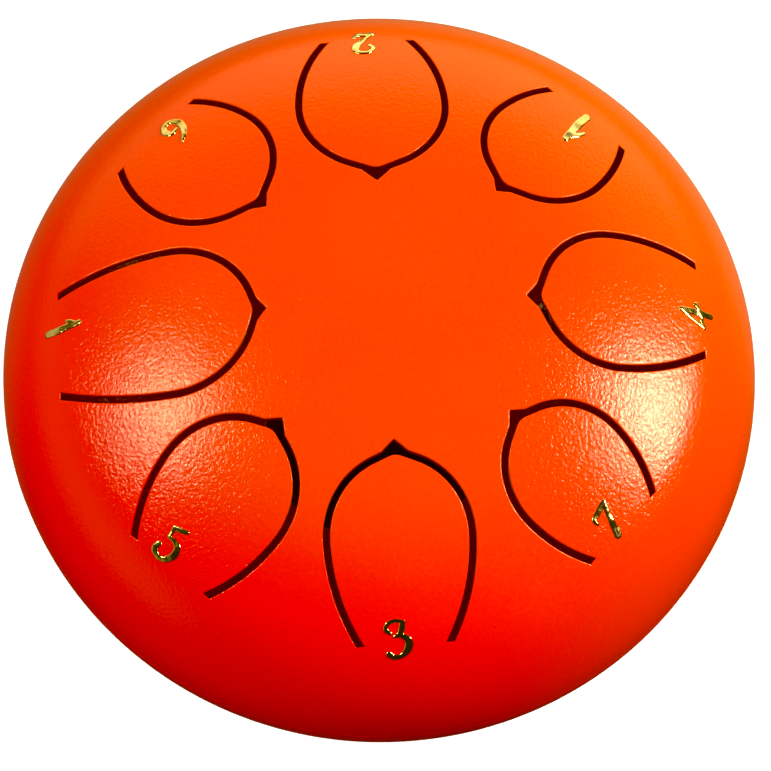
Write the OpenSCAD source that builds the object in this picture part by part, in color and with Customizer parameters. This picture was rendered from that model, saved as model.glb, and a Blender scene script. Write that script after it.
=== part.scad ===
// Small steel tongue drum: two pressed steel domes welded at the waist, eight cut tongues
// with gold foil numerals, and three rubber feet screwed to the lower dome.
// Millimetres. +Z is up, the origin is the centre of the plane that the feet stand on,
// and tongue 3 points along -Y, to the player.

/* [Shell] */
// Outside diameter at the waist
drum_d = 155; // [152:0.5:158]
// Thickness of the sheet steel
steel_t = 1.5; // [1.2:0.1:1.8]
// Outside radius of the dome's flat crown
crown_r = 127; // [120:1:135]
// Outside radius of the shoulder between the crown and the waist
shoulder_r = 30; // [28:1:32]
// Radius of the sound port in the lower dome
port_r = 24; // [20:1:27]
// Half width of the weld's groove at the outside
weld_w = 0.8; // [0.6:0.1:1]
// Depth of the weld's groove
weld_depth = 0.9; // [0.6:0.1:1]
// Height that the dressed weld stands proud of the steel
weld_proud = 0.05; // [0.03:0.01:0.1]

/* [Tongues] */
// Names of the notes, from the lowest to the highest
note_names = ["1", "2", "3", "4", "5", "6", "7", "high_1"];
// Direction of each tongue, in degrees from +X
note_az = [179.5, 89.1, 270.3, 0.7, 226.3, 134.2, 315.2, 44.3]; // [0:0.1:360]
// Length of each slot pair, from the tip to the root ends; a low note has a long tongue
note_len = [39.6, 35, 35, 34, 31.8, 28.9, 28.4, 27]; // [26:0.1:40]
// Half width of each tongue at its widest, on the middle of the slot
note_half = [15, 14.8, 14.2, 14.2, 14, 14.2, 13.1, 13]; // [13:0.1:15]
// Distance of each tongue's root ends from the drum's axis, along the tongue
root_at = [64.5, 63.6, 65, 64.2, 64.5, 62.1, 62.8, 62.3]; // [61:0.1:65]
// Half distance between each tongue's two root ends, on the middle of the slot
root_half = [10.6, 8.8, 8.8, 9.5, 9.3, 10.4, 9.2, 9.7]; // [8.5:0.1:11]
// Width of the cut slot
slot_w = 1.35; // [1.2:0.05:1.5]
// Slope of each tongue's pointed end: run along the tongue for each unit across it
tip_slope = [0.34, 0.42, 0.4, 0.44, 0.38, 0.42, 0.41, 0.45]; // [0.34:0.01:0.46]
// Distance from the tip to the widest place, as a share of the half width
head_share = 1.13; // [1.1:0.01:1.16]
// Radius on the tongue's own point
tip_round = 3.2; // [2:0.1:4]
// How far each slot's outer corner reaches beyond the middle of the slot at the tip
spur = [1.8, 2.2, 2, 1.9, 2, 1.8, 1.7, 1.7]; // [1.6:0.1:2.2]
// Distance of each bending line from the root ends, as a share of the slot's length;
// the last one is larger, so that the line clears the larger numeral
bend_share = [0.28, 0.28, 0.28, 0.28, 0.28, 0.28, 0.28, 0.335]; // [0.26:0.005:0.34]
// Parting at the bending line between a tongue and the shell
bend_gap = 0.08; // [0.06:0.01:0.12]

/* [Numerals] */
// Thickness of the foil numerals
foil_t = 0.25; // [0.2:0.05:0.4]
// Distance of each numeral's centre from the drum's axis, along its tongue
digit_at = [64, 63, 64.3, 63.3, 61.3, 59.3, 60.6, 58.8]; // [58:0.1:65]
// Offset of each numeral's centre to the side of its tongue
digit_side = [-3.4, 0.8, -1.3, -1.3, -1.9, -3.1, -1.2, -0.6]; // [-5:0.1:5]
// Size of each numeral relative to the common size
digit_scale = [1, 1, 1, 1, 1, 1, 1, 1.18]; // [0.9:0.01:1.2]
// Half width added to every stroke, for bolder numerals
digit_bold = 0.14; // [0:0.01:0.2]

/* [Feet] */
// Distance of the feet from the drum's axis
foot_at = 44; // [42:0.5:47]
// Radius of a foot at the steel
foot_top_r = 10; // [9:0.5:11]
// Radius that a foot tapers to at the end of foot_run
foot_low_r = 8.8; // [8:0.1:9]
// Length from the steel over which a foot tapers to foot_low_r
foot_run = 10; // [8:1:12]
// Clearance between the lower dome's pole and the floor
floor_gap = 1.5; // [1:0.1:4]
// Thickness of rubber under the screw's head
foot_web = 3.5; // [3:0.5:4]
// Radius of the recess for the screw's head
recess_r = 4.4; // [4.2:0.1:5]

/* [Fasteners] */
// Radius of the foot screws
screw_r = 2; // [1.9:0.05:2.1]
// Radius of the screws' pan heads
head_r = 3.8; // [3.6:0.1:4]
// Height of the screws' pan heads
head_h = 2.6; // [2.4:0.1:3]
// Radius of the washers inside the drum
washer_r = 4.5; // [4.4:0.1:5]
// Thickness of the washers
washer_t = 0.8; // [0.8:0.1:1]
// Size of the hexagon nuts across their corners
nut_corners = 8.1; // [8:0.1:8.2]
// Height of the hexagon nuts
nut_h = 3.2; // [3:0.1:3.4]

/* [Hidden] */
$fn = 180;
drum_r = drum_d / 2;
// Centre circle of the shoulder's round
shoulder_at = drum_r - shoulder_r;
// Height of the crown's sphere centre from the waist, negative because it lies on the far side
crown_centre = -sqrt(pow(crown_r - shoulder_r, 2) - pow(shoulder_at, 2));
// Distance from the axis at which the crown meets the shoulder
join_at = crown_r * shoulder_at / (crown_r - shoulder_r);
waist_z = floor_gap + crown_centre + crown_r;
far = 3 * drum_r;
notes = [0 : len(note_names) - 1];
arc_steps = 8;
tip_steps = 3;
// Where a spur's flank leaves the slot's edge, and its two bends, as shares of the spur's length
spur_reach = 1.3;
spur_bends = [[0.6, 0.37], [0.25, 0.75]];
stroke_steps = 4;
cap_steps = 4;
// Height of the block that each numeral is cut from, enough to cross the dome's curve
foil_block = 4;
foot_az = [30, 150, 270];
// Length of a foot's cone below the steel and above it, before it is trimmed
foot_below = 20;
foot_above = 5;
foot_taper = (foot_top_r - foot_low_r) / foot_run;
hole_clearance = 0.15;
thread_clearance = 0.05;
screw_end = 1;

TONGUES = [for (name = note_names) str("tongue_", name)];
NUMERALS = [for (name = note_names) str("numeral_", name)];
FEET = ["foot_1", "foot_2", "foot_3"];
FIXINGS = ["foot_screws", "foot_washers", "foot_nuts"];

// ---- Dome geometry, with heights counted from the waist ----

// Height of the dome's surface, depth below the outside, at a distance r from the axis
function dome_height(r, depth = 0) =
    r < join_at * (crown_r - depth) / crown_r
        ? crown_centre + sqrt(pow(crown_r - depth, 2) - r * r)
        : sqrt(pow(shoulder_r - depth, 2) - pow(r - shoulder_at, 2));

// Slope of the dome from the horizontal at a distance r from the axis
function dome_slope(r) = r < join_at ? asin(r / crown_r) : asin((r - shoulder_at) / shoulder_r);

// Half section of a solid dome whose surface is depth below the outside
module dome_section(depth) {
    intersection() {
        square(far);
        union() {
            translate([shoulder_at, 0])
                circle(r = shoulder_r - depth);
            intersection() {
                translate([0, crown_centre])
                    circle(r = crown_r - depth);
                polygon([
                    [0, crown_centre],
                    [shoulder_at * far / -crown_centre, far + crown_centre],
                    [0, far + crown_centre]
                ]);
            }
        }
    }
}

// One pressed dome, open at the waist, with the outer edge of its rim bevelled for the weld
module pressed_dome() {
    rotate_extrude()
        difference() {
            dome_section(0);
            dome_section(steel_t);
            weld_section(0);
        }
}

// Section of the weld's groove, filled to proud beyond the steel
module weld_section(proud) {
    polygon([
        [drum_r - weld_depth, 0],
        [drum_r + proud, -weld_w],
        [drum_r + proud, weld_w]
    ]);
}

// ---- Tongue outlines, with X along the tongue away from the axis and Y across it ----

function tip_at(i) = root_at[i] - note_len[i];

// Angle of a tongue's flank from its own axis
function flank_of(i) = atan(1 / tip_slope[i]);

function widest_at(i) = tip_at(i) + head_share * note_half[i];

// Radius of the head's round, tangent to the flank and to the tongue's sides
function head_r_of(i) =
    let (across = sin(flank_of(i)) - tip_slope[i] * (1 - cos(flank_of(i))))
    (head_share - tip_slope[i]) * note_half[i] / across;

// Radius of the long curve from the widest place in to the root end
function side_r_of(i) =
    let (run = root_at[i] - widest_at(i), rise = note_half[i] - root_half[i])
    (run * run + rise * rise) / (2 * rise);

// The head's round, moved outward by grow, from the flank to the widest place
function head_points(i, grow) =
    let (r = head_r_of(i))
    [for (k = [0 : arc_steps])
        let (t = 90 + flank_of(i) * (1 - k / arc_steps))
        [widest_at(i) + (r + grow) * cos(t), note_half[i] - r + (r + grow) * sin(t)]];

// The side's long curve, moved outward by grow, from past the widest place to the distance u
function side_points(i, grow, u) =
    let (r = side_r_of(i), last = asin((u - widest_at(i)) / (r + grow)))
    [for (k = [1 : arc_steps])
        let (t = last * k / arc_steps)
        [widest_at(i) + (r + grow) * sin(t), note_half[i] - r + (r + grow) * cos(t)]];

// Rounded point of the tongue, one side of its axis
function tip_points(i) =
    let (centre = tip_at(i) + (slot_w / 2 + tip_round) / sin(flank_of(i)))
    [for (k = [0 : tip_steps])
        let (t = 180 - (90 - flank_of(i)) * k / tip_steps)
        [centre + tip_round * cos(t), tip_round * sin(t)]];

// Sharp outer corner of the slot, one side of its axis, with flanks that curve out to the point
function spur_points(i) =
    let (edge = tip_at(i) - slot_w / 2 / sin(flank_of(i)), reach = spur_reach * spur[i])
    [
        [tip_at(i) - spur[i], 0],
        for (bend = spur_bends)
            [tip_at(i) - bend[0] * spur[i], bend[1] * spur[i]],
        [edge + tip_slope[i] * reach, reach]
    ];

function flipped(points) = [for (k = [len(points) - 1 : -1 : 0]) [points[k][0], -points[k][1]]];

function bend_at(i) = root_at[i] - bend_share[i] * note_len[i];

// Outline of the tongue from its point to the distance u
function tongue_outline(i, u) =
    let (half = concat(tip_points(i), head_points(i, -slot_w / 2), side_points(i, -slot_w / 2, u)))
    concat(half, flipped(half));

// Outline of the slots with the opening between them, as far as the bending line
function opening_outline(i) =
    let (
        outer = concat(
            spur_points(i),
            head_points(i, slot_w / 2),
            side_points(i, slot_w / 2, root_at[i])
        ),
        neck = [
            for (p = side_points(i, -slot_w / 2, root_at[i]))
                if (p[0] > bend_at(i) + 1) p
        ],
        bend = [bend_at(i) + bend_gap / 2, neck_half(i)],
        half = concat(outer, [for (k = [len(neck) - 1 : -1 : 0]) neck[k]], [bend])
    )
    concat(half, flipped(half));

// Half width of the tongue's steel at the bending line
function neck_half(i) =
    let (r = side_r_of(i), u = bend_at(i) + bend_gap / 2 - widest_at(i))
    note_half[i] - r + sqrt(pow(r - slot_w / 2, 2) - u * u);

// ---- Numeral outlines: strokes of [x, y, half width], with the digit's top along +Y ----

ONE_STEM = [[-0.35, 4.2, 0.5], [0, 1.8, 0.6], [0.35, -1, 0.7], [0.45, -3.5, 0.65]];
ONE = [
    ONE_STEM,
    [[-0.4, 3.3, 0.35], [-0.9, 2.3, 0.36], [-1.25, 1.3, 0.2]]
];
HIGH_ONE = [
    ONE_STEM,
    [[-0.4, 3.3, 0.35], [-1.1, 1.8, 0.4], [-1.6, 0.3, 0.24]]
];
TWO = [
    [
        [-1.35, 1.1, 0.34], [-2, 2.15, 0.34], [-1, 3.3, 0.35], [0.5, 3.5, 0.42],
        [1.6, 2.7, 0.65], [1.5, 1.3, 0.7], [0.2, -0.5, 0.42], [-1.6, -2.9, 0.3]
    ],
    [[-1.9, -3.4, 0.45], [-0.5, -2.9, 0.5], [0.8, -3, 0.55], [1.9, -1.8, 0.2]]
];
THREE = [
    [[-1.55, 1.35, 0.28], [-2.45, 2.2, 0.36], [-2, 3.3, 0.32], [-0.6, 3.8, 0.3], [1.1, 3.6, 0.2]],
    [[0.9, 3.4, 0.42], [0.7, 2.2, 0.52], [0.2, 1.1, 0.38], [-0.7, 0.7, 0.25]],
    [
        [-0.5, 0.8, 0.28], [0.8, 0.7, 0.4], [1.9, -0.3, 0.65], [1.8, -1.9, 0.65],
        [0.6, -3.3, 0.45], [-1, -3.6, 0.42], [-2, -2.9, 0.5]
    ]
];
FOUR = [
    [[0.8, 3.7, 0.42], [0.6, 1.8, 0.58], [0.35, -0.8, 0.65], [0, -3.6, 0.5]],
    [[0.7, 3.7, 0.3], [-0.9, 1.6, 0.3], [-2.7, -1.5, 0.28]],
    [[-2.7, -1.5, 0.3], [-0.6, -1, 0.32], [1.2, -0.4, 0.38], [2.1, 0, 0.5]]
];
FIVE = [
    [[-1.7, 2.9, 0.4], [-0.4, 3.2, 0.45], [1, 3.7, 0.28]],
    [[-1.6, 2.9, 0.32], [-1.6, 0.8, 0.28]],
    [
        [-1.6, 0.8, 0.3], [-0.2, 0.7, 0.38], [1.1, 0, 0.58], [1.4, -1.7, 0.68],
        [0.4, -3.4, 0.5], [-1.2, -3.9, 0.42], [-2.6, -3, 0.55], [-2.5, -1.7, 0.5]
    ]
];
SIX = [
    [
        [1.3, 3.5, 0.2], [0, 2.6, 0.42], [-1.4, 0.8, 0.65], [-1.7, -1.2, 0.68],
        [-0.7, -3, 0.48], [0.8, -3, 0.5], [1.7, -1.6, 0.65], [1.2, -0.1, 0.55], [-0.3, -0.2, 0.25]
    ]
];
SEVEN = [
    [[-2.4, 1.8, 0.22], [-2.3, 2.9, 0.4], [-0.6, 3.4, 0.48], [1.6, 4, 0.4]],
    [[1.5, 3.9, 0.36], [0.8, 2, 0.42], [0, -0.4, 0.58], [-0.7, -2.8, 0.72]]
];
DIGITS = [ONE, TWO, THREE, FOUR, FIVE, SIX, SEVEN, HIGH_ONE];

// Point of a smooth curve through the stroke's points, at s between point k and the next
function along(points, k, s) =
    let (
        last = len(points) - 1,
        b = points[k],
        c = points[k + 1],
        a = k > 0 ? points[k - 1] : 2 * b - c,
        d = k + 1 < last ? points[k + 2] : 2 * c - b
    )
    b + s / 2 * (c - a + s * (2 * a - 5 * b + 4 * c - d + s * (3 * b - 3 * c + d - a)));

function spine(points) = concat(
    [for (k = [0 : len(points) - 2], j = [0 : stroke_steps - 1]) along(points, k, j / stroke_steps)],
    [points[len(points) - 1]]
);

// Direction of a spine at its point k, in degrees
function heading(line, k) =
    let (a = line[max(k - 1, 0)], b = line[min(k + 1, len(line) - 1)])
    atan2(b[1] - a[1], b[0] - a[0]);

// Points on one side of a spine: side is 1 for its left and -1 for its right
function bank(line, side) = [
    for (k = [0 : len(line) - 1])
        let (t = heading(line, k) + 90 * side)
        [line[k][0] + line[k][2] * cos(t), line[k][1] + line[k][2] * sin(t)]
];

// Round end of a stroke at point p, turned half way round from the direction start
function cap(p, start) = [
    for (k = [1 : cap_steps - 1])
        let (t = start - 180 * k / cap_steps)
        [p[0] + p[2] * cos(t), p[1] + p[2] * sin(t)]
];

function stroke_outline(points) =
    let (
        line = [for (p = spine(points)) [p[0], p[1], p[2] + digit_bold]],
        last = len(line) - 1,
        right = bank(line, -1)
    )
    concat(
        bank(line, 1),
        cap(line[last], heading(line, last) + 90),
        [for (k = [last : -1 : 0]) right[k]],
        cap(line[0], heading(line, 0) - 90)
    );

// ---- Sub-parts ----

module upper_shell() {
    color("orangered")
        difference() {
            translate([0, 0, waist_z])
                pressed_dome();
            for (i = notes)
                rotate([0, 0, note_az[i]])
                    translate([0, 0, waist_z])
                        linear_extrude(far)
                            polygon(opening_outline(i));
        }
}

module tongue(i) {
    color("orangered")
        intersection() {
            translate([0, 0, waist_z])
                pressed_dome();
            rotate([0, 0, note_az[i]])
                translate([0, 0, waist_z])
                    linear_extrude(far)
                        polygon(tongue_outline(i, bend_at(i) - bend_gap / 2));
        }
}

module lower_shell() {
    color("orangered")
        difference() {
            translate([0, 0, waist_z])
                mirror([0, 0, 1])
                    pressed_dome();
            cylinder(r = port_r, h = waist_z);
            at_feet()
                cylinder(r = screw_r + hole_clearance, h = 4 * steel_t, center = true);
        }
}

module waist_weld() {
    color("orangered")
        translate([0, 0, waist_z])
            rotate_extrude()
                weld_section(weld_proud);
}

// Foil numeral that follows the dome's surface
module numeral(i) {
    r = digit_at[i];
    color("gold")
        intersection() {
            translate([0, 0, waist_z])
                rotate_extrude()
                    difference() {
                        dome_section(-foil_t);
                        dome_section(0);
                    }
            rotate([0, 0, note_az[i]])
                translate([r, digit_side[i], waist_z + dome_height(r)])
                    rotate([0, dome_slope(r), 0])
                        rotate([0, 0, 90])
                            linear_extrude(foil_block, center = true)
                                scale(digit_scale[i])
                                    for (stroke = DIGITS[i])
                                        polygon(stroke_outline(stroke));
        }
}

// Places its children on each foot's axis, at the lower dome's outside, with +Z into the drum
module at_foot(az) {
    rotate([0, 0, az])
        translate([foot_at, 0, waist_z - dome_height(foot_at)])
            rotate([0, -dome_slope(foot_at), 0])
                children();
}

module at_feet() {
    for (az = foot_az)
        at_foot(az)
            children();
}

// Tapered rubber foot, hollowed to fit the dome and trimmed level with the floor
module foot(az) {
    low_r = foot_top_r - foot_below * foot_taper;
    high_r = foot_top_r + foot_above * foot_taper;
    color("dimgray")
        difference() {
            at_foot(az)
                translate([0, 0, -foot_below])
                    cylinder(r1 = low_r, r2 = high_r, h = foot_below + foot_above);
            translate([0, 0, waist_z - crown_centre])
                sphere(r = crown_r);
            translate([0, 0, -far])
                cylinder(r = far, h = far);
            at_foot(az)
                translate([0, 0, -foot_below - foot_web])
                    cylinder(r = recess_r, h = foot_below);
            at_foot(az)
                cylinder(r = screw_r + hole_clearance, h = 3 * foot_web, center = true);
        }
}

module foot_screws() {
    nut_top = seat() + washer_t + nut_h;
    color("silver")
        at_feet() {
            translate([0, 0, -foot_web - head_h])
                cylinder(r = head_r, h = head_h);
            translate([0, 0, -foot_web])
                cylinder(r = screw_r - thread_clearance, h = foot_web + nut_top + screw_end);
        }
}

// Distance from the steel's outside to the flat seat that the washer's rim finds inside it
function seat() = crown_r - sqrt(pow(crown_r - steel_t, 2) - washer_r * washer_r);

module foot_washers() {
    color("silver")
        at_feet()
            translate([0, 0, seat()])
                difference() {
                    cylinder(r = washer_r, h = washer_t);
                    cylinder(r = screw_r + hole_clearance, h = 3 * washer_t, center = true);
                }
}

module foot_nuts() {
    color("silver")
        at_feet()
            translate([0, 0, seat() + washer_t])
                difference() {
                    cylinder(d = nut_corners, h = nut_h, $fn = 6);
                    cylinder(r = screw_r, h = 3 * nut_h, center = true);
                }
}

upper_shell();
lower_shell();
waist_weld();
for (i = notes) tongue(i);
for (i = notes) numeral(i);
for (k = [0 : 2]) foot(foot_az[k]);
foot_screws();
foot_washers();
foot_nuts();
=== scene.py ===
import math

import bmesh
import bpy
import numpy as np
from mathutils import Matrix, Vector
from mathutils.geometry import delaunay_2d_cdt


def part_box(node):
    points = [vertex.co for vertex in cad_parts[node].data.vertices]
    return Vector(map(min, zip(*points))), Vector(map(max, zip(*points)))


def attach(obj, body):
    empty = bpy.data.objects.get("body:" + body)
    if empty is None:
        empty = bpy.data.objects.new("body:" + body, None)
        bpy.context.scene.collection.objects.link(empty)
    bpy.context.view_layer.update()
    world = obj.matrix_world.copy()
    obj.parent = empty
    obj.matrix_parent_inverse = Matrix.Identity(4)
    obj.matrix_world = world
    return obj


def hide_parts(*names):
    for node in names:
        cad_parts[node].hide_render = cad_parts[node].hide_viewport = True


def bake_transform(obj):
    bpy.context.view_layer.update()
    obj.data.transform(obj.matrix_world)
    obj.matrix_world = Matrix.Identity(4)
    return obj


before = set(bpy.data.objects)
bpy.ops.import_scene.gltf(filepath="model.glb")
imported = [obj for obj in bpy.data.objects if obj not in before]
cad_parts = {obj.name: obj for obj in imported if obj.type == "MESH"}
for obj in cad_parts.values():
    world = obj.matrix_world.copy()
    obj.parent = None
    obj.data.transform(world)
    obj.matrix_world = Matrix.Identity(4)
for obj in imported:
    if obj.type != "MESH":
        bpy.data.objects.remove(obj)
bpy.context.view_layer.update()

# A small steel tongue drum. Every shape below is worked out in millimetres, with heights
# counted from the waist where the two domes meet, and becomes metres when its mesh is made.

MM = 0.001
ROOT = "drum"

# ---- The domes, as in part.scad ----

WAIST_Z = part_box("lower_shell")[1].z / MM
DRUM_R = (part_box("upper_shell")[1].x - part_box("upper_shell")[0].x) / 2 / MM
STEEL = 1.5
CROWN_R = 127.0
SHOULDER_R = 30.0
SHOULDER_AT = DRUM_R - SHOULDER_R
CROWN_CENTRE = -math.sqrt((CROWN_R - SHOULDER_R) ** 2 - SHOULDER_AT**2)
JOIN_ANGLE = math.asin(SHOULDER_AT / (CROWN_R - SHOULDER_R))
PORT_R = 24.0
WELD_HALF = 0.75
WELD_DEPTH = 0.9

# ---- The tongues, in the order of their notes ----

NOTES = ["1", "2", "3", "4", "5", "6", "7", "high_1"]
AZIMUTH = [179.5, 89.1, 270.3, 0.7, 226.3, 134.2, 315.2, 44.3]
LENGTH = [39.6, 35, 35, 34, 31.8, 28.9, 28.4, 27]
HALF = [15, 14.8, 14.2, 14.2, 14, 14.2, 13.1, 13]
ROOT_AT = [64.5, 63.6, 65, 64.2, 64.5, 62.1, 62.8, 62.3]
ROOT_HALF = [10.6, 8.8, 8.8, 9.5, 9.3, 10.4, 9.2, 9.7]
SLOT = 1.35
TIP_SLOPE = [0.34, 0.42, 0.4, 0.44, 0.38, 0.42, 0.41, 0.45]
HEAD_SHARE = 1.13
TIP_ROUND = 3.2
SPUR = [1.8, 2.2, 2, 1.9, 2, 1.8, 1.7, 1.7]
SPUR_REACH = 1.3
BEND_SHARE = [0.28, 0.28, 0.28, 0.28, 0.28, 0.28, 0.28, 0.335]

# Rounding of the coated steel's cut edges, outside and inside
EDGE_OUT = 0.32
EDGE_IN = 0.15
EDGE_STEPS = 4

# ---- The numerals ----

DIGIT_AT = [64, 63, 64.3, 63.3, 61.3, 59.3, 60.6, 58.8]
DIGIT_SIDE = [-3.4, 0.8, -1.3, -1.3, -1.9, -3.1, -1.2, -0.6]
DIGIT_SCALE = [1, 1, 1, 1, 1, 1, 1, 1.18]
# Half width added to every stroke
DIGIT_BOLD = 0.14
FOIL_T = 0.25

# ---- The feet and their fixings ----

FOOT_AT = 44.0
FOOT_AZ = [30, 150, 270]
FOOT_TOP_R = 10.0
FOOT_TAPER = 0.12
FOOT_WEB = 3.5
# Rounding of a foot's lower edge, and the height of its upper lip
FOOT_ROUND = 1.1
FOOT_LIP = 0.5
RECESS_R = 4.4
SCREW_R = 1.95
HOLE_R = 2.15
HEAD_R = 3.8
HEAD_H = 2.6
WASHER_R = 4.5
WASHER_T = 0.8
NUT_CORNERS = 8.1
NUT_H = 3.2
PITCH = 0.7
THREAD_DEPTH = 0.3


# ---- Points on a dome; depth is the distance below the outside of the steel ----


def join_arc(depth):
    """Length along the dome from its pole to where the crown meets the shoulder."""
    return (CROWN_R - depth) * JOIN_ANGLE


def waist_arc(depth):
    """Length along the dome from its pole to the waist."""
    return join_arc(depth) + (SHOULDER_R - depth) * (math.pi / 2 - JOIN_ANGLE)


def slope_at(r, depth):
    """Slope of the dome from the horizontal at a distance r from the axis."""
    crown = np.arcsin(np.clip(r / (CROWN_R - depth), 0, 1))
    shoulder = np.arcsin(np.clip((r - SHOULDER_AT) / (SHOULDER_R - depth), -1, 1))
    return np.where(crown < JOIN_ANGLE, crown, shoulder)


def height_at(r, depth):
    slope = slope_at(r, depth)
    crown = CROWN_CENTRE + (CROWN_R - depth) * np.cos(slope)
    return np.where(slope < JOIN_ANGLE, crown, (SHOULDER_R - depth) * np.cos(slope))


def flattened(plan, depth):
    """Plan points moved to where their length along the dome is their distance from the axis."""
    r = np.hypot(plan[:, 0], plan[:, 1])
    slope = slope_at(r, depth)
    crown = (CROWN_R - depth) * slope
    shoulder = join_arc(depth) + (SHOULDER_R - depth) * (slope - JOIN_ANGLE)
    arc = np.where(slope < JOIN_ANGLE, crown, shoulder)
    return plan * (arc / np.maximum(r, 1e-9))[:, None]


def wrapped(flat, depth):
    """Flattened points back on the dome, and the dome's outward normals there."""
    arc = np.hypot(flat[:, 0], flat[:, 1])
    turn = JOIN_ANGLE + (arc - join_arc(depth)) / (SHOULDER_R - depth)
    slope = np.where(arc < join_arc(depth), arc / (CROWN_R - depth), turn)
    on_crown = slope < JOIN_ANGLE
    r = np.where(
        on_crown,
        (CROWN_R - depth) * np.sin(slope),
        SHOULDER_AT + (SHOULDER_R - depth) * np.sin(slope),
    )
    z = np.where(
        on_crown,
        CROWN_CENTRE + (CROWN_R - depth) * np.cos(slope),
        (SHOULDER_R - depth) * np.cos(slope),
    )
    ray = flat / np.maximum(arc, 1e-9)[:, None]
    points = np.column_stack([ray * r[:, None], z])
    normals = np.column_stack([ray * np.sin(slope)[:, None], np.cos(slope)])
    return points, normals


def turned(points, degrees):
    a = math.radians(degrees)
    return points @ np.array([[math.cos(a), math.sin(a)], [-math.sin(a), math.cos(a)]])


# ---- Outlines in plan ----


class Outline:
    """A cut edge in plan: its points in order, and at each the way into the steel.

    An open outline ends at a tongue's bending line, and chord holds the points between its
    last point and its first, where the steel runs on into the next piece."""

    def __init__(self, points, into, chord=None):
        self.points, self.into, self.chord = points, into, chord

    def turned(self, degrees):
        chord = None if self.chord is None else turned(self.chord, degrees)
        return Outline(turned(self.points, degrees), turned(self.into, degrees), chord)

    def loop(self, inset):
        """The outline moved into the steel, closed along its chord."""
        edge = self.points + self.into * inset
        return edge if self.chord is None else np.vstack([edge, self.chord])

    def corners(self):
        """Whether the edge turns sharply at each point."""
        step = np.roll(self.points, -1, axis=0) - self.points
        step /= np.linalg.norm(step, axis=1)[:, None]
        sharp = (step * np.roll(step, 1, axis=0)).sum(axis=1) < math.cos(math.radians(28))
        if self.chord is not None:
            sharp[0] = sharp[-1] = False
        return sharp


def ways_in(points, closed, side):
    """At each point, the offset that moves both neighbouring edges sideways by 1."""
    step = np.roll(points, -1, axis=0) - points
    step /= np.linalg.norm(step, axis=1)[:, None]
    ahead = side * np.column_stack([-step[:, 1], step[:, 0]])
    behind = np.roll(ahead, 1, axis=0)
    if not closed:
        behind[0], ahead[-1] = ahead[0], behind[-1]
    return (ahead + behind) / (1 + (ahead * behind).sum(axis=1))[:, None]


def arc_points(centre, radius, start, end, spacing):
    """Points on an arc from angle start to angle end."""
    count = max(2, int(abs(end - start) * radius / spacing))
    t = np.linspace(start, end, count + 1)
    return np.column_stack([centre[0] + radius * np.cos(t), centre[1] + radius * np.sin(t)])


class Tongue:
    """The outline of one tongue, with X along the tongue away from the axis."""

    spacing = 0.75

    def __init__(self, i):
        self.tip = ROOT_AT[i] - LENGTH[i]
        self.root = ROOT_AT[i]
        self.half = HALF[i]
        self.widest = self.tip + HEAD_SHARE * self.half
        self.bend = self.root - BEND_SHARE[i] * LENGTH[i]
        self.slope, self.spur_length = TIP_SLOPE[i], SPUR[i]
        self.flank_angle = math.atan(1 / self.slope)
        across = math.sin(self.flank_angle) - self.slope * (1 - math.cos(self.flank_angle))
        self.head_r = (HEAD_SHARE - self.slope) * self.half / across
        run, rise = self.root - self.widest, self.half - ROOT_HALF[i]
        self.side_r = (run * run + rise * rise) / (2 * rise)

    def head(self, grow):
        centre = (self.widest, self.half - self.head_r)
        start = math.pi / 2 + self.flank_angle
        return arc_points(centre, self.head_r + grow, start, math.pi / 2, self.spacing)

    def side(self, grow, start, end):
        """The long curve of the side between two distances from the axis."""
        centre, radius = (self.widest, self.half - self.side_r), self.side_r + grow
        angles = [math.pi / 2 - math.asin((u - self.widest) / radius) for u in (start, end)]
        return arc_points(centre, radius, angles[0], angles[1], self.spacing)

    def flank(self, start, end):
        """Points strictly between the two ends of the straight flank."""
        count = int(np.linalg.norm(end - start) / self.spacing)
        return start + (end - start) * (np.arange(1, count) / count)[:, None]

    def point(self):
        """The tongue's rounded point, one side of its axis."""
        centre = (self.tip + (SLOT / 2 + TIP_ROUND) / math.sin(self.flank_angle), 0)
        return arc_points(centre, TIP_ROUND, math.pi, math.pi / 2 + self.flank_angle, 0.3)

    def spur(self):
        """The slot's sharp outer corner, one side of its axis, with hollow flanks."""
        edge = self.tip - SLOT / 2 / math.sin(self.flank_angle)
        t = np.linspace(0, 1, 7)[:, None]
        reach = SPUR_REACH * self.spur_length
        start = np.array([self.tip - self.spur_length, 0])
        end = np.array([edge + self.slope * reach, reach])
        pull = start + np.array([0.42, 0.5]) * self.spur_length
        return (1 - t) ** 2 * start + 2 * t * (1 - t) * pull + t**2 * end

    def chord(self, last):
        """Points along the bending line from the last point of an outline to its mirror image."""
        count = int(2 * abs(last[1]) / self.spacing)
        v = last[1] * (1 - 2 * np.arange(1, count) / count)
        return np.column_stack([np.full(len(v), last[0]), v])

    def finished(self, half, side):
        """An open outline from one side of it, which starts on the tongue's axis."""
        mirrored = half[::-1] * [1, -1]
        points = np.vstack([mirrored[:-1], half])
        into = ways_in(points, False, side)
        for k in (0, -1):
            into[k] = [0, -np.sign(points[k, 1])]
        last = points[-1] + into[-1] * EDGE_OUT
        return Outline(points, into, self.chord(last))

    def blade(self):
        """The tongue itself, from its point to the bending line."""
        point, head = self.point(), self.head(-SLOT / 2)
        side = self.side(-SLOT / 2, self.widest, self.bend)
        half = np.vstack([point, self.flank(point[-1], head[0]), head, side[1:]])
        return self.finished(half, -1)

    def opening(self):
        """The slots and the tongue's place, as far as the bending line."""
        spur, head = self.spur(), self.head(SLOT / 2)
        outer = self.side(SLOT / 2, self.widest, self.root)
        neck = self.side(-SLOT / 2, self.root, self.bend)
        parts = [spur, self.flank(spur[-1], head[0]), head, outer[1:], neck]
        return self.finished(np.vstack(parts), 1)


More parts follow.
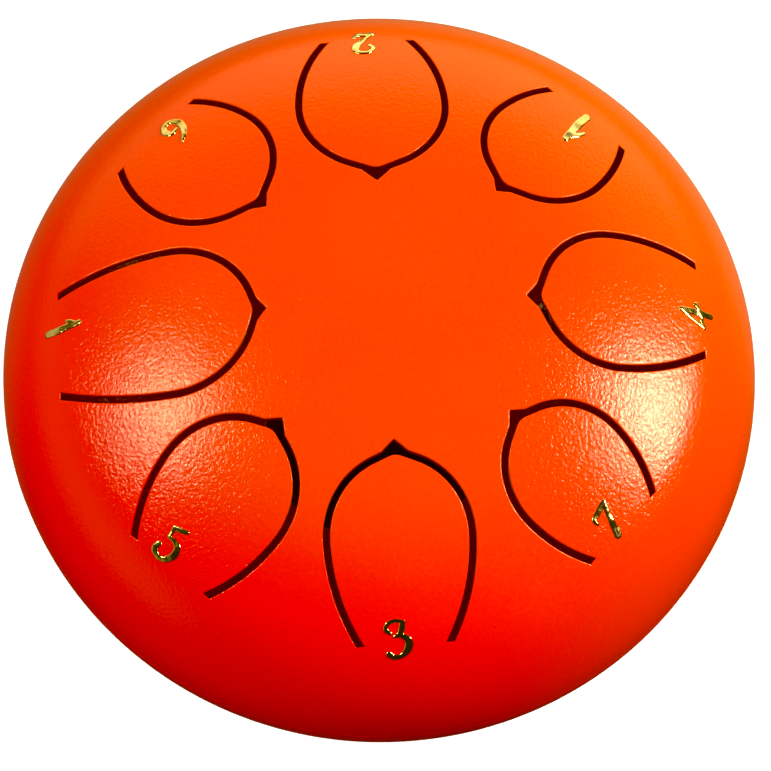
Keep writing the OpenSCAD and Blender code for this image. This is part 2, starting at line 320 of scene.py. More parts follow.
def round_hole(centre, radius, spacing):
    """A closed outline round a circular hole in the steel."""
    points = arc_points(centre, radius, 0, 2 * math.pi, spacing)[:-1]
    return Outline(points, (points - np.array(centre)) / radius)


# ---- Meshes ----


def within(points, loops):
    """Whether each point is inside an odd number of the loops."""
    hit = np.zeros(len(points), bool)
    x, y = points[:, 0], points[:, 1]
    for loop in loops:
        low, high = loop.min(axis=0), loop.max(axis=0)
        near = np.flatnonzero((x > low[0]) & (x < high[0]) & (y > low[1]) & (y < high[1]))
        ends = np.roll(loop, -1, axis=0)
        odd = np.zeros(len(near), bool)
        for (x1, y1), (x2, y2) in zip(loop, ends):
            if y1 != y2:
                crosses = (y1 > y[near]) != (y2 > y[near])
                odd ^= crosses & (x[near] < (x2 - x1) * (y[near] - y1) / (y2 - y1) + x1)
        hit[near] ^= odd
    return hit


def distances(points, others):
    """Distance from each point to the nearest of the others."""
    out = np.empty(len(points))
    for k in range(0, len(points), 2000):
        gap = points[k : k + 2000, None, :] - others[None, :, :]
        out[k : k + 2000] = np.sqrt((gap**2).sum(axis=2).min(axis=1))
    return out


def triangulated(loops, spacing, margin):
    """Points and triangles that fill the loops, with the loops' own points first."""
    edge = np.vstack(loops)
    low, high = edge.min(axis=0), edge.max(axis=0)
    rows = np.arange(low[1], high[1], spacing * math.sqrt(3) / 2)
    grid = []
    for k, y in enumerate(rows):
        x = np.arange(low[0] + spacing / 2 * (k % 2), high[0], spacing)
        grid.append(np.column_stack([x, np.full(len(x), y)]))
    grid = np.vstack(grid)
    grid = grid[within(grid, loops)]
    grid = grid[distances(grid, edge) > margin]
    points = np.vstack([edge, grid])
    links, first = [], 0
    for loop in loops:
        n = len(loop)
        links += [(first + k, first + (k + 1) % n) for k in range(n)]
        first += n
    made = delaunay_2d_cdt([Vector(p) for p in points], links, [], 0, 1e-7, True)
    where = np.array([ids[0] if ids else -1 for ids in made[3]])
    faces = where[np.array([list(f) for f in made[2]])]
    faces = faces[(faces >= 0).all(axis=1)]
    faces = faces[within(points[faces].mean(axis=1), loops)]
    return points, faces


class Builder:
    """Collects points, faces and the normals of smooth surfaces, and makes one mesh of them."""

    def __init__(self):
        self.points, self.normals, self.faces, self.sharp = [], [], [], []
        self.painted_inner_shade = []

    def add(self, points, normals=None, painted_inner_shade=0.0):
        first = len(self.points)
        self.points += [tuple(p) for p in points]
        self.painted_inner_shade += [painted_inner_shade] * len(points)
        blank = [(0, 0, 0)] * len(points)
        self.normals += blank if normals is None else [tuple(n) for n in normals]
        return list(range(first, len(self.points)))

    def strip(self, a, b, closed=True):
        """Quads between two rows of points of the same length."""
        n = len(a)
        for k in range(n if closed else n - 1):
            j = (k + 1) % n
            self.faces.append((a[k], a[j], b[j], b[k]))

    def rows(self, rows, closed=True):
        for a, b in zip(rows, rows[1:]):
            self.strip(a, b, closed)

    def fill(self, row):
        """One face across a flat ring of points."""
        self.faces.append(tuple(row))

    def made(self, name, raised=WAIST_Z, smooth=True):
        mesh = bpy.data.meshes.new(name)
        lifted = [(x * MM, y * MM, (z + raised) * MM) for x, y, z in self.points]
        mesh.from_pydata(lifted, [], self.faces)
        work = bmesh.new()
        work.from_mesh(mesh)
        bmesh.ops.recalc_face_normals(work, faces=work.faces)
        work.verts.ensure_lookup_table()
        for a, b in self.sharp:
            edge = work.edges.get((work.verts[a], work.verts[b]))
            if edge is not None:
                edge.smooth = False
        for face in work.faces:
            face.smooth = smooth
        work.to_mesh(mesh)
        work.free()
        given = np.array(self.normals, float)
        if given.any():
            corner = np.zeros(len(mesh.loops), int)
            mesh.loops.foreach_get("vertex_index", corner)
            mesh.normals_split_custom_set([tuple(n) for n in given[corner]])
        # Each point's share of painted shade, which darkens cut walls and the inside of the steel
        shade_share = mesh.attributes.new("painted_inner_shade", "FLOAT", "POINT")
        shade_share.data.foreach_set("value", self.painted_inner_shade)
        obj = bpy.data.objects.new(name, mesh)
        bpy.context.scene.collection.objects.link(obj)
        return obj


def plate(name, outlines, spacing, rim_points=0, upside_down=False, wall=1.0):
    """A piece of the pressed steel: two skins, and walls with rounded edges along the outlines.

    With rim_points the plate runs out to the waist, where its edge has the weld's groove.
    wall says how much painted shade darkens the walls, from 0 to 1."""
    build = Builder()
    flip = np.array([1, 1, -1 if upside_down else 1])
    skins = []
    for depth, inset in ((0, EDGE_OUT), (STEEL, EDGE_IN)):
        loops = [flattened(line.loop(inset), depth) for line in outlines]
        if rim_points:
            reach = waist_arc(depth) - (WELD_HALF if depth == 0 else 0)
            ring = arc_points((0, 0), reach, 0, 2 * math.pi, 2 * math.pi * reach / rim_points)
            loops.append(ring[:rim_points])
        flat, faces = triangulated(loops, spacing, 0.6 * spacing)
        points, normals = wrapped(flat, depth)
        side = 1 if depth == 0 else -1
        # The inside skin takes 0.8 of the painted shade
        ids = build.add(points * flip, normals * side * flip, 0.0 if depth == 0 else 0.8)
        build.faces += [tuple(ids[k] for k in face) for face in faces]
        skins.append(ids)
    used = 0
    for line in outlines:
        count, chord = len(line.points), 0 if line.chord is None else len(line.chord)
        top, low = (skin[used : used + count + chord] for skin in skins)
        used += count + chord
        rows = [top[:count]]
        for k in range(1, EDGE_STEPS + 1):
            t = math.pi / 2 * k / EDGE_STEPS
            plan = line.points + line.into * EDGE_OUT * (1 - math.sin(t))
            z = height_at(np.hypot(plan[:, 0], plan[:, 1]), 0) - EDGE_OUT * (1 - math.cos(t))
            # Painted shade: none on the outer half of the rounded edge, then rising to the wall's
            # full share
            shade_share = wall * max(0.0, 2 * k / EDGE_STEPS - 1)
            rows.append(build.add(np.column_stack([plan, z]) * flip, painted_inner_shade=shade_share))
        z = height_at(np.hypot(line.points[:, 0], line.points[:, 1]), STEEL) + EDGE_IN
        rows.append(build.add(np.column_stack([line.points, z]) * flip, painted_inner_shade=wall))
        rows.append(low[:count])
        build.rows(rows, line.chord is None)
        for k in np.flatnonzero(line.corners()):
            build.sharp += [(a[k], b[k]) for a, b in zip(rows, rows[1:])]
        if line.chord is not None:
            up_one_end = [row[0] for row in rows[1:-1]]
            up_other_end = [row[-1] for row in rows[1:-1]]
            build.fill(
                top[count - 1 :] + top[:1] + up_one_end + low[:1] + low[:count - 1:-1]
                + [low[count - 1]] + up_other_end[::-1]
            )
    if rim_points:
        a = 2 * math.pi * np.arange(rim_points) / rim_points
        r = DRUM_R - WELD_DEPTH
        groove = np.column_stack([r * np.cos(a), r * np.sin(a), np.zeros(rim_points)])
        outer, inner = (skin[used : used + rim_points] for skin in skins)
        build.rows([outer, build.add(groove), inner])
    return build.made(name)


def turned_piece(name, profile, place):
    """A turned ring or rod: profile is a closed section of (radius, height) points, or one
    that starts and ends on the axis. place maps it from its own axis to the drum."""
    build = Builder()
    count = 48
    a = 2 * math.pi * np.arange(count) / count
    solid = profile[0][0] == 0
    rows = []
    for r, z in profile[1:-1] if solid else profile:
        rows.append(build.add([place @ Vector((r * math.cos(t), r * math.sin(t), z)) for t in a]))
    if solid:
        for (_, z), row in ((profile[0], rows[0]), (profile[-1], rows[-1])):
            pole = build.add([place @ Vector((0, 0, z))])[0]
            build.faces += [(row[k], row[(k + 1) % count], pole) for k in range(count)]
        build.rows(rows)
    else:
        build.rows(rows + rows[:1])
    return build.made(name, raised=0)


def rounded(section, radii, steps=4):
    """A section's corners rounded with arcs; radii has one radius for each corner."""
    out = []
    n = len(section)
    for k in range(n):
        p = np.array(section[k], float)
        if not radii[k]:
            out.append(tuple(p))
            continue
        a = np.array(section[k - 1], float) - p
        b = np.array(section[(k + 1) % n], float) - p
        a /= np.linalg.norm(a)
        b /= np.linalg.norm(b)
        half = math.acos(np.clip(a @ b, -1, 1)) / 2
        reach = radii[k] / math.tan(half)
        centre = p + (a + b) / np.linalg.norm(a + b) * radii[k] / math.sin(half)
        start, end = p + a * reach - centre, p + b * reach - centre
        turn = math.atan2(start[0] * end[1] - start[1] * end[0], start @ end)
        for j in range(steps + 1):
            c, s = math.cos(turn * j / steps), math.sin(turn * j / steps)
            v = np.array([start[0] * c - start[1] * s, start[0] * s + start[1] * c])
            out.append(tuple(centre + v))
    return out


# ---- Numerals: strokes of (x, y, half width), with the digit's top along +Y ----

ONE_STEM = [(-0.35, 4.2, 0.5), (0, 1.8, 0.6), (0.35, -1, 0.7), (0.45, -3.5, 0.65)]
ONE = [ONE_STEM, [(-0.4, 3.3, 0.35), (-0.9, 2.3, 0.36), (-1.25, 1.3, 0.2)]]
HIGH_ONE = [ONE_STEM, [(-0.4, 3.3, 0.35), (-1.1, 1.8, 0.4), (-1.6, 0.3, 0.24)]]
TWO = [
    [
        (-1.35, 1.1, 0.34), (-2, 2.15, 0.34), (-1, 3.3, 0.35), (0.5, 3.5, 0.42),
        (1.6, 2.7, 0.65), (1.5, 1.3, 0.7), (0.2, -0.5, 0.42), (-1.6, -2.9, 0.3),
    ],
    [(-1.9, -3.4, 0.45), (-0.5, -2.9, 0.5), (0.8, -3, 0.55), (1.9, -1.8, 0.2)],
]
THREE = [
    [(-1.55, 1.35, 0.28), (-2.45, 2.2, 0.36), (-2, 3.3, 0.32), (-0.6, 3.8, 0.3), (1.1, 3.6, 0.2)],
    [(0.9, 3.4, 0.42), (0.7, 2.2, 0.52), (0.2, 1.1, 0.38), (-0.7, 0.7, 0.25)],
    [
        (-0.5, 0.8, 0.28), (0.8, 0.7, 0.4), (1.9, -0.3, 0.65), (1.8, -1.9, 0.65),
        (0.6, -3.3, 0.45), (-1, -3.6, 0.42), (-2, -2.9, 0.5),
    ],
]
FOUR = [
    [(0.8, 3.7, 0.42), (0.6, 1.8, 0.58), (0.35, -0.8, 0.65), (0, -3.6, 0.5)],
    [(0.7, 3.7, 0.3), (-0.9, 1.6, 0.3), (-2.7, -1.5, 0.28)],
    [(-2.7, -1.5, 0.3), (-0.6, -1, 0.32), (1.2, -0.4, 0.38), (2.1, 0, 0.5)],
]
FIVE = [
    [(-1.7, 2.9, 0.4), (-0.4, 3.2, 0.45), (1, 3.7, 0.28)],
    [(-1.6, 2.9, 0.32), (-1.6, 0.8, 0.28)],
    [
        (-1.6, 0.8, 0.3), (-0.2, 0.7, 0.38), (1.1, 0, 0.58), (1.4, -1.7, 0.68),
        (0.4, -3.4, 0.5), (-1.2, -3.9, 0.42), (-2.6, -3, 0.55), (-2.5, -1.7, 0.5),
    ],
]
SIX = [
    [
        (1.3, 3.5, 0.2), (0, 2.6, 0.42), (-1.4, 0.8, 0.65), (-1.7, -1.2, 0.68), (-0.7, -3, 0.48),
        (0.8, -3, 0.5), (1.7, -1.6, 0.65), (1.2, -0.1, 0.55), (-0.3, -0.2, 0.25),
    ]
]
SEVEN = [
    [(-2.4, 1.8, 0.22), (-2.3, 2.9, 0.4), (-0.6, 3.4, 0.48), (1.6, 4, 0.4)],
    [(1.5, 3.9, 0.36), (0.8, 2, 0.42), (0, -0.4, 0.58), (-0.7, -2.8, 0.72)],
]
DIGITS = [ONE, TWO, THREE, FOUR, FIVE, SIX, SEVEN, HIGH_ONE]
STROKE_STEPS = 8
CAP_STEPS = 8
# Edge of the foil: height of its cut wall, and how far in its rounded shoulder reaches
FOIL_WALL = 0.1
FOIL_SHOULDER = 0.42
FOIL_SUNK = 0.03


def spine(stroke):
    """A smooth curve through the stroke's points, with its half widths."""
    p = np.array(stroke, float)
    p = np.vstack([2 * p[0] - p[1], p, 2 * p[-1] - p[-2]])
    out = []
    for a, b, c, d in zip(p, p[1:], p[2:], p[3:]):
        for s in np.arange(STROKE_STEPS) / STROKE_STEPS:
            cubic = c - a + s * (2 * a - 5 * b + 4 * c - d + s * (3 * b - 3 * c + d - a))
            out.append(b + s / 2 * cubic)
    return np.array(out + [p[-2]]) + [0, 0, DIGIT_BOLD]


def stroke_outline(stroke):
    """The closed outline of a stroke with round ends."""
    line = spine(stroke)
    ahead = np.gradient(line[:, :2], axis=0)
    heading = np.arctan2(ahead[:, 1], ahead[:, 0])

    def round_the(k, start, turn):
        t = start + turn
        return line[k, :2] + line[k, 2] * np.column_stack([np.cos(t), np.sin(t)])

    across = np.column_stack([-np.sin(heading), np.cos(heading)]) * line[:, 2:]
    half_turn = -math.pi * np.arange(1, CAP_STEPS) / CAP_STEPS
    end = round_the(-1, heading[-1] + math.pi / 2, half_turn)
    start = round_the(0, heading[0] - math.pi / 2, half_turn)
    return np.vstack([line[:, :2] + across, end, (line[:, :2] - across)[::-1], start])


def united(outlines):
    """The boundary loops of everything inside any of the outlines."""
    points, links = np.vstack(outlines), []
    first = 0
    for line in outlines:
        n = len(line)
        links += [(first + k, first + (k + 1) % n) for k in range(n)]
        first += n
    made = delaunay_2d_cdt([Vector(p) for p in points], links, [], 0, 1e-5, False)
    points = np.array([tuple(v) for v in made[0]])
    faces = np.array([list(f) for f in made[2]])
    middles = points[faces].mean(axis=1)
    kept = faces[np.any([within(middles, [line]) for line in outlines], axis=0)]
    sides = {(a, b) for f in kept.tolist() for a, b in zip(f, f[1:] + f[:1])}
    after = {a: b for a, b in sides if (b, a) not in sides}
    loops = []
    while after:
        loop = [next(iter(sorted(after)))]
        while loop[-1] in after:
            loop.append(after.pop(loop[-1]))
        loops.append(points[loop[:-1]])
    return loops


def resampled(loop, spacing):
    """A closed loop with even steps."""
    shut = np.vstack([loop, loop[:1]])
    run = np.concatenate([[0], np.cumsum(np.linalg.norm(np.diff(shut, axis=0), axis=1))])
    at = np.linspace(0, run[-1], max(12, int(run[-1] / spacing)), endpoint=False)
    return np.column_stack([np.interp(at, run, shut[:, k]) for k in (0, 1)])


def numeral(i):
    """A foil numeral with rounded edges, laid on the dome."""
    outlines = [stroke_outline(stroke) * DIGIT_SCALE[i] for stroke in DIGITS[i]]
    loops = [resampled(loop, 0.11) for loop in united(outlines)]
    points, faces = triangulated(loops, 0.15, 0.08)
    edge = np.vstack(loops)
    near = np.clip(distances(points, edge) / FOIL_SHOULDER, 0, 1)
    near[: len(edge)] = 0
    dome = np.sqrt(1 - (1 - near) ** 2)
    height = FOIL_WALL + (FOIL_T - FOIL_WALL) * dome
    arc = np.hypot(*flattened(np.array([[DIGIT_AT[i], 0.0]]), 0)[0])
    along = wrapped(np.column_stack([arc - points[:, 1], np.zeros(len(points))]), 0)[0][:, 0]
    plan = turned(np.column_stack([along, DIGIT_SIDE[i] + points[:, 0]]), AZIMUTH[i])
    base, normals = wrapped(flattened(plan, 0), 0)
    build = Builder()
    top = build.add(base + normals * height[:, None])
    low = build.add(base - normals * FOIL_SUNK)
    build.faces += [tuple(top[k] for k in f) for f in faces]
    build.faces += [tuple(low[k] for k in f[::-1]) for f in faces]
    used = 0
    for loop in loops:
        n = len(loop)
        build.strip(top[used : used + n], low[used : used + n])
        build.sharp += [(low[used + k], low[used + (k + 1) % n]) for k in range(n)]
        used += n
    return build.made("foil_numeral_" + NOTES[i])


# ---- Feet and fixings ----


def foot_place(az):
    """The frame of a foot's axis: its origin on the steel's outside and +Z into the drum."""
    slope = math.asin(FOOT_AT / CROWN_R)
    z = WAIST_Z - float(height_at(np.array(FOOT_AT), 0))
    at = Matrix.Rotation(math.radians(az), 4, "Z") @ Matrix.Translation((FOOT_AT, 0, z))
    return at @ Matrix.Rotation(-slope, 4, "Y")


def foot(k):
    """A tapered rubber foot that fits the dome, level underneath, with a recess for its screw."""
    place = foot_place(FOOT_AZ[k])
    count = 96
    down = place.to_3x3().transposed() @ Vector((0, 0, -1))
    floor = place.inverted() @ Vector((0, 0, 0))

    def on_dome(r, a):
        return Vector((r * math.cos(a), r * math.sin(a), CROWN_R - math.sqrt(CROWN_R**2 - r * r)))

    def on_floor(r_of_z, a, lift=0.0):
        """Where the cone or cylinder of that radius meets a plane lift above the floor."""
        z = -10.0
        for _ in range(30):
            r = r_of_z(z)
            p = Vector((r * math.cos(a), r * math.sin(a), z))
            z -= ((p - floor).dot(-down) - lift) / -down.z
        return Vector((r * math.cos(a), r * math.sin(a), z))

    def cone(z):
        return FOOT_TOP_R + FOOT_TAPER * z

    columns = []
    for j in range(count):
        a = 2 * math.pi * j / count
        wall_top, wall_low = on_dome(FOOT_TOP_R, a), on_floor(cone, a)
        inward = Vector((-math.cos(a), -math.sin(a), 0))
        level_in = (inward - down * inward.dot(down)).normalized()
        up = (wall_top - wall_low).normalized()
        column = [on_dome(HOLE_R, a), on_dome((HOLE_R + FOOT_TOP_R) / 2, a)]
        column += [on_dome(FOOT_TOP_R - FOOT_LIP, a)]
        for t in (0.35, 0.75):
            turn_in = FOOT_LIP * (1 - math.sin(t * 2)) * 0.5
            column.append(wall_top + inward * turn_in - up * FOOT_LIP * t)
        column.append(wall_top - up * 1.0)
        column.append((wall_top + wall_low) / 2)
        for s in (0, 0.25, 0.5, 0.75, 1):
            t = math.pi / 2 * s
            turn_in, turn_up = FOOT_ROUND * (1 - math.cos(t)), FOOT_ROUND * (1 - math.sin(t))
            column.append(wall_low + level_in * turn_in + up * turn_up)
        recess = on_floor(lambda z: RECESS_R, a)
        column.append(recess - level_in * 0.35)
        column.append(recess - level_in * 0.1 + up * 0.1)
        column.append(recess + up * 0.35)
        c, s = math.cos(a), math.sin(a)
        column.append(Vector((RECESS_R * c, RECESS_R * s, -FOOT_WEB - 0.3)))
        column.append(Vector(((RECESS_R - 0.3) * c, (RECESS_R - 0.3) * s, -FOOT_WEB)))
        column.append(Vector((HOLE_R * c, HOLE_R * s, -FOOT_WEB)))
        columns.append([place @ point for point in column])
    build = Builder()
    ids = [build.add(row) for row in zip(*columns)]
    build.rows(ids + ids[:1])
    return build.made(f"rubber_foot_{k + 1}", raised=0)


def joined(name, objects):
    """One object of several, with its own mesh."""
    work = bmesh.new()
    for obj in objects:
        work.from_mesh(obj.data)
        bpy.data.objects.remove(obj)
    mesh = bpy.data.meshes.new(name)
    work.to_mesh(mesh)
    work.free()
    obj = bpy.data.objects.new(name, mesh)
    bpy.context.scene.collection.objects.link(obj)
    return obj


def cut_with(obj, tool):
    """Cuts the tool's shape out of obj for good."""
    step = obj.modifiers.new("cut", "BOOLEAN")
    step.operation = "DIFFERENCE"
    step.solver = "EXACT"
    step.object = tool
    graph = bpy.context.evaluated_depsgraph_get()
    mesh = bpy.data.meshes.new_from_object(obj.evaluated_get(graph), depsgraph=graph)
    obj.modifiers.clear()
    obj.data = mesh
    bpy.data.objects.remove(tool)


def washer_seat():
    """Distance from the steel's outside to the flat seat that the washer's rim finds inside it."""
    return CROWN_R - math.sqrt((CROWN_R - STEEL) ** 2 - WASHER_R**2)


def screw(k):
    """A pan-head screw with a cross recess, seen from below in the foot's recess."""
    place = foot_place(FOOT_AZ[k])
    tip = washer_seat() + WASHER_T + NUT_H + 1
    under = -FOOT_WEB
    top = under - HEAD_H
    profile = [(0, top)]
    for t in np.radians([80, 65, 50, 35, 20, 5]):
        profile.append((HEAD_R - 1.1 + 1.1 * math.cos(t), top + 1.3 - 1.3 * math.sin(t) + 0.05))
    profile += [(HEAD_R, under - 0.5), (HEAD_R - 0.15, under), (SCREW_R, under)]
    for j in range(int((tip - under - 0.8) / PITCH)):
        z = under + 0.4 + PITCH * j
        profile += [(SCREW_R, z), (SCREW_R - THREAD_DEPTH, z + PITCH / 2)]
    profile += [(SCREW_R, tip - 0.5), (SCREW_R - 0.4, tip), (0, tip)]
    body = turned_piece(f"screw_{k}", profile, place)
    wide, narrow, deep, slim = 2.1, 0.9, 1.7, 0.45
    for along in (0, 1):
        build = Builder()
        ring = []
        for reach, z in ((wide, top - 0.4), (narrow, top + deep)):
            square = [(-reach, -slim), (reach, -slim), (reach, slim), (-reach, slim)]
            pts = [Vector((y, x, z)) if along else Vector((x, y, z)) for x, y in square]
            ring.append(build.add([place @ p for p in pts]))
        build.strip(ring[0], ring[1])
        build.fill(ring[0])
        build.fill(ring[1][::-1])
        cut_with(body, build.made("cross", raised=0, smooth=False))
    return body


def washer(k):
    place = foot_place(FOOT_AZ[k]) @ Matrix.Translation((0, 0, washer_seat()))
    section = [(HOLE_R, 0), (WASHER_R, 0), (WASHER_R, WASHER_T), (HOLE_R, WASHER_T)]
    return turned_piece(f"washer_{k}", rounded(section, [0.1, 0.15, 0.15, 0.1], 2), place)


def nut(k):
    """A hexagon nut with its corners bevelled at both faces and a countersunk bore."""
    place = foot_place(FOOT_AZ[k]) @ Matrix.Translation((0, 0, washer_seat() + WASHER_T))
    count, flat_r = 96, NUT_CORNERS / 2 * math.cos(math.pi / 6)
    build = Builder()
    bore = 2.0

    def hexagon(a):
        return flat_r / math.cos((a + math.pi / 6) % (math.pi / 3) - math.pi / 6)

    def row(radius, z):
        pts = []
        for j in range(count):
            a = 2 * math.pi * (j + 0.5) / count
            r, h = radius(a) if callable(radius) else radius, z(a) if callable(z) else z
            pts.append(place @ Vector((r * math.cos(a), r * math.sin(a), h)))
        return build.add(pts)

    def bevel(a):
        """Depth of the cone that bevels the corners, at the hexagon's side."""
        return 0.12 + (hexagon(a) - flat_r) * 0.62

    rows = [
        row(bore, 0.35), row(bore + 0.35, 0), row(flat_r - 0.15, 0), row(hexagon, bevel),
        row(hexagon, lambda a: NUT_H - bevel(a)), row(flat_r - 0.15, NUT_H),
        row(bore + 0.35, NUT_H), row(bore, NUT_H - 0.35),
    ]
    build.rows(rows + rows[:1])
    return build.made(f"nut_{k}", raised=0, smooth=False)


def waist_weld():
    """The dressed butt weld: a low crown with the faint ripple of its passes."""
    build = Builder()
    count = 720
    a = 2 * math.pi * np.arange(count) / count
    ripple = 0.012 * np.sin(a * 150) + 0.014 * np.sin(a * 37 + 1) + 0.012 * np.sin(a * 11 + 2)
    heights = np.linspace(-1, 1, 9) * (WELD_HALF + 0.02)
    rows = []
    for z in heights:
        share = 1 - (z / WELD_HALF) ** 2
        steel = SHOULDER_AT + math.sqrt(SHOULDER_R**2 - z * z)
        r = steel + np.maximum(share, -0.02) * (0.035 + ripple)
        rows.append(build.add(np.column_stack([r * np.cos(a), r * np.sin(a), np.full(count, z)])))
    r = DRUM_R - WELD_DEPTH
    rows.append(build.add(np.column_stack([r * np.cos(a), r * np.sin(a), np.zeros(count)])))
    build.rows(rows + rows[:1])
    return build.made("weld_bead")


# ---- Materials ----


class Nodes:
    """A short way to write the node tree of a new material, or of the world."""

    def __init__(self, name, world=False):
        data = bpy.data.worlds if world else bpy.data.materials
        self.material = data.new(name)
        self.material.use_nodes = True
        self.tree = self.material.node_tree
        self.shader = self.tree.nodes["Background" if world else "Principled BSDF"]
        self.object = self.new("ShaderNodeTexCoord").outputs["Generated" if world else "Object"]

    def new(self, kind, **values):
        node = self.tree.nodes.new(kind)
        for key, value in values.items():
            setattr(node, key, value)
        return node

    def link(self, source, target):
        self.tree.links.new(source, target)

    def set(self, **values):
        for key, value in values.items():
            self.shader.inputs[key.replace("_", " ")].default_value = value

    def noise(self, scale, detail=2.0, rough=0.5, distortion=0.0, vector=None):
        node = self.new("ShaderNodeTexNoise")
        node.inputs["Scale"].default_value = scale
        node.inputs["Detail"].default_value = detail
        node.inputs["Roughness"].default_value = rough
        node.inputs["Distortion"].default_value = distortion
        self.link(vector or self.object, node.inputs["Vector"])
        return node.outputs["Fac"]

    def cells(self, scale, vector=None):
        node = self.new("ShaderNodeTexVoronoi", feature="SMOOTH_F1")
        node.inputs["Scale"].default_value = scale
        node.inputs["Smoothness"].default_value = 0.6
        self.link(vector or self.object, node.inputs["Vector"])
        return node.outputs["Distance"]

    def maths(self, operation, a, b=None, clamp=False):
        node = self.new("ShaderNodeMath", operation=operation, use_clamp=clamp)
        for value, socket in zip((a, b), node.inputs):
            if isinstance(value, (int, float)):
                socket.default_value = value
            elif value is not None:
                self.link(value, socket)
        return node.outputs[0]

    def mapped(self, value, low, high, to_low=0.0, to_high=1.0, smooth=False):
        node = self.new("ShaderNodeMapRange")
        if smooth:
            node.interpolation_type = "SMOOTHSTEP"
        for key, number in zip(range(1, 5), (low, high, to_low, to_high)):
            node.inputs[key].default_value = number
        self.link(value, node.inputs["Value"])
        return node.outputs["Result"]

    def mixed(self, share, a, b):
        """A colour that goes from a to b; each is a colour or a socket."""
        node = self.new("ShaderNodeMix", data_type="RGBA")
        self.link(share, node.inputs["Factor"])
        for value, socket in ((a, node.inputs[6]), (b, node.inputs[7])):
            if isinstance(value, tuple):
                socket.default_value = (*value, 1)
            else:
                self.link(value, socket)
        return node.outputs[2]

    def axes(self):
        node = self.new("ShaderNodeSeparateXYZ")
        self.link(self.object, node.inputs[0])
        return [node.outputs[k] for k in range(3)]

    def from_axis(self):
        """Distance from the drum's axis."""
        x, y, _ = self.axes()
        square = [self.maths("MULTIPLY", v, v) for v in (x, y)]
        return self.maths("SQRT", self.maths("ADD", *square))

    def ramp(self, value, stops, blend="EASE"):
        node = self.new("ShaderNodeValToRGB")
        node.color_ramp.interpolation = blend
        while len(node.color_ramp.elements) < len(stops):
            node.color_ramp.elements.new(0.5)
        for element, (at, colour) in zip(node.color_ramp.elements, stops):
            element.position = at
            element.color = (*colour, 1)
        self.link(value, node.inputs["Fac"])
        return node.outputs["Color"]

    def bump(self, height, distance, strength=1.0, before=None):
        node = self.new("ShaderNodeBump")
        node.inputs["Strength"].default_value = strength
        node.inputs["Distance"].default_value = distance
        self.link(height, node.inputs["Height"])
        if before is not None:
            self.link(before, node.inputs["Normal"])
        return node.outputs["Normal"]


def enamel():
    """Semi-gloss powder coat with a fine wrinkle, orange on the crown, with painted shade that
    turns one flank redder and a painted sheen that turns the other flank more orange.
    """
    n = Nodes("enamel")
    out = n.from_axis()
    warp = n.new("ShaderNodeVectorMath", operation="MULTIPLY_ADD")
    push = n.new("ShaderNodeTexNoise")
    push.inputs["Scale"].default_value = 1300
    n.link(n.object, push.inputs["Vector"])
    n.link(push.outputs["Color"], warp.inputs[0])
    warp.inputs[1].default_value = (0.0004, 0.0004, 0.0004)
    n.link(n.object, warp.inputs[2])
    wrinkle = n.noise(1650, 2.5, 0.55, 0.4, warp.outputs[0])
    folds = n.cells(1250, warp.outputs[0])
    relief = n.maths("ADD", n.maths("MULTIPLY", wrinkle, 0.8), n.maths("MULTIPLY", folds, 0.4))
    # How far a point lies towards the flank painted redder as shade, from -1 to 1; towards -1 the
    # other flank is painted more orange as sheen
    way = math.radians(230)
    x, y, _ = n.axes()
    sheen_to_shade = n.maths("MULTIPLY", x, math.cos(way))
    sheen_to_shade = n.maths("ADD", sheen_to_shade, n.maths("MULTIPLY", y, math.sin(way)))
    sheen_to_shade = n.maths("DIVIDE", sheen_to_shade, n.maths("ADD", out, 0.001))
    sheen_to_shade = n.maths("ADD", sheen_to_shade, 0.14)
    sheen_to_shade = n.maths("MULTIPLY", sheen_to_shade, n.mapped(out, 0.036, 0.074, smooth=True))
    tone_and_valley_shade = n.mapped(n.noise(28, 2), 0.3, 0.7, -0.03, 0.03)
    # Painted shade: the coat is painted a little redder in the valleys of its wrinkles, on top of
    # a tone that differs a little at random
    tone_and_valley_shade = n.maths("ADD", tone_and_valley_shade, n.mapped(relief, 0.35, 0.85, 0.04, -0.04))
    painted_shade_and_tone = n.maths("ADD", n.mapped(sheen_to_shade, -1, 1), tone_and_valley_shade, clamp=True)
    # Painted light and shade: the green, and so the orange, falls from the painted sheen on one
    # flank to the painted shade on the other
    greens_sheen_to_shade = [0.125, 0.085, 0.056, 0.034, 0.011, 0.0015, 0.001]
    places = [0, 0.25, 0.5, 0.63, 0.75, 0.9, 1]
    tones_sheen_to_shade = [(at, (0.93, green, 0.0005)) for at, green in zip(places, greens_sheen_to_shade)]
    coat_with_painted_light = n.ramp(painted_shade_and_tone, tones_sheen_to_shade, "LINEAR")
    # Painted shade: cut walls and the inside of the steel are painted a dark mottled red
    painted_inner_shade = n.new("ShaderNodeAttribute", attribute_name="painted_inner_shade").outputs["Fac"]
    mottled_shade = n.ramp(n.noise(700, 3), [(0.3, (0.10, 0.002, 0.001)), (0.7, (0.16, 0.005, 0.002))])
    n.link(n.mixed(painted_inner_shade, coat_with_painted_light, mottled_shade), n.shader.inputs["Base Color"])
    # Painted glow: the dark red glows faintly on the cut walls and the inside, standing in for
    # light bounced about inside the drum
    n.link(mottled_shade, n.shader.inputs["Emission Color"])
    n.link(n.maths("MULTIPLY", painted_inner_shade, 0.38), n.shader.inputs["Emission Strength"])
    n.link(n.bump(relief, 0.0001, 1.0), n.shader.inputs["Normal"])
    n.link(n.mapped(relief, 0.3, 0.9, 0.14, 0.22), n.shader.inputs["Roughness"])
    n.set(Specular_IOR_Level=0.5)
    return n.material


